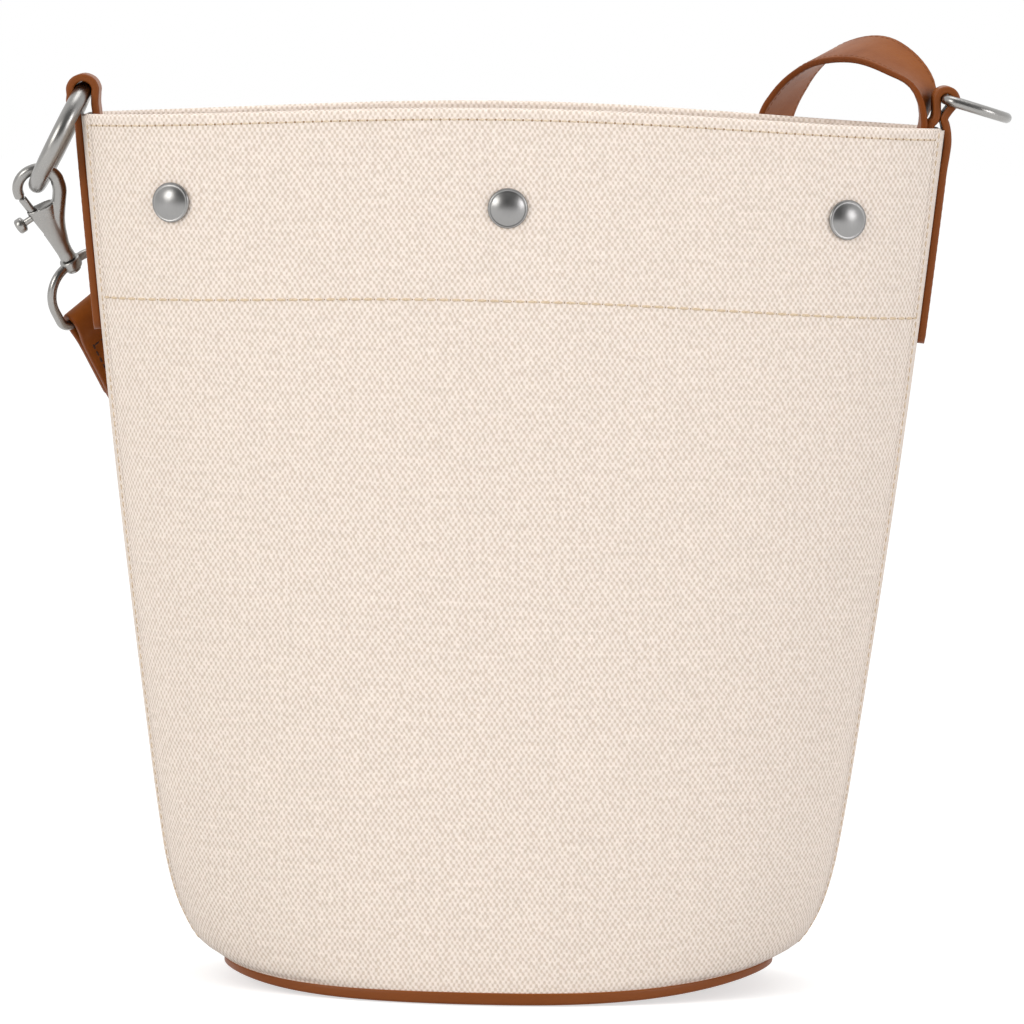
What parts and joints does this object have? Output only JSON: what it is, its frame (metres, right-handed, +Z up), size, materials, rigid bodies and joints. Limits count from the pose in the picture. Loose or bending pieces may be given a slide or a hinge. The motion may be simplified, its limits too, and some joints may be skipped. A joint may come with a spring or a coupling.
{
  "type": "bucket bag",
  "caption": "Open-topped canvas bucket bag with an oval leather sole, press studs, ring tabs and a leather shoulder strap clipped on by a swivel snap hook.",
  "frame": {"origin": "middle of the sole's flat underside", "axes": "+Z up, the front faces -Y, the bag's right side faces +X"},
  "size_m": [0.3768, 0.181, 0.3601],
  "materials": {
    "canvas": "woven cotton canvas",
    "facing_canvas": "woven cotton canvas",
    "seam_canvas": "woven cotton canvas",
    "leather": "smooth cognac leather",
    "strap_leather": "smooth cognac leather",
    "board": "covered stiffener board",
    "nickel": "satin nickel plate",
    "polished_nickel": "polished nickel plate"
  },
  "bodies": {
    "bag": {"canvas_front_panel": "canvas", "canvas_back_panel": "canvas", "front_facing": "facing_canvas", "back_facing": "facing_canvas", "left_side_seam": "seam_canvas", "right_side_seam": "seam_canvas", "sole": "leather", "base_board": "board", "left_tab": "leather", "right_tab": "leather", "strap_anchor": "strap_leather", "snap_caps": "polished_nickel", "snap_sockets": "nickel", "snap_studs": "nickel", "snap_posts": "polished_nickel"},
    "left_ring": {"left_ring": "nickel"},
    "right_ring": {"right_ring": "nickel"},
    "strap": {"strap": "strap_leather"},
    "swivel": {"swivel_eye": "nickel"},
    "hook": {"hook_frame": "nickel", "bolt_spring": "nickel"},
    "bolt": {"hook_bolt": "nickel"}
  },
  "joints": [
    {"name": "right_ring_swing", "type": "hinge", "parent": "bag", "child": "right_ring", "pos_m": [0.163, 0, 0.3368], "axis": [0, 1, 0], "range_deg": [-100, 50]},
    {"name": "left_ring_turn", "type": "hinge", "parent": "bag", "child": "left_ring", "pos_m": [-0.17067, 0, 0.31664], "axis": [-0.9026, 0, 0.4305], "continuous": true},
    {"name": "strap_swing", "type": "hinge", "parent": "bag", "child": "strap", "pos_m": [0.15443, 0, 0.3286], "axis": [0.996, 0, 0.0893], "range_deg": [0, 3.5]},
    {"name": "eye_tilt", "type": "hinge", "parent": "strap", "child": "swivel", "pos_m": [-0.1588, 0.02632, 0.25151], "axis": [0.6889, 0.4309, 0.5829], "range_deg": [-1.5, 0.4]},
    {"name": "hook_swivel", "type": "hinge", "parent": "swivel", "child": "hook", "pos_m": [-0.16801, 0.01562, 0.2703], "axis": [-0.3916, -0.4554, 0.7995], "range_deg": [-5, 12]},
    {"name": "bolt_slide", "type": "slide", "parent": "hook", "child": "bolt", "axis": [0.5423, 0.4452, -0.7125], "range_m": [0, 0.006], "stiffness_N_per_m": 150, "springref_m": -0.004, "deforming": ["bolt_spring"]}
  ]
}
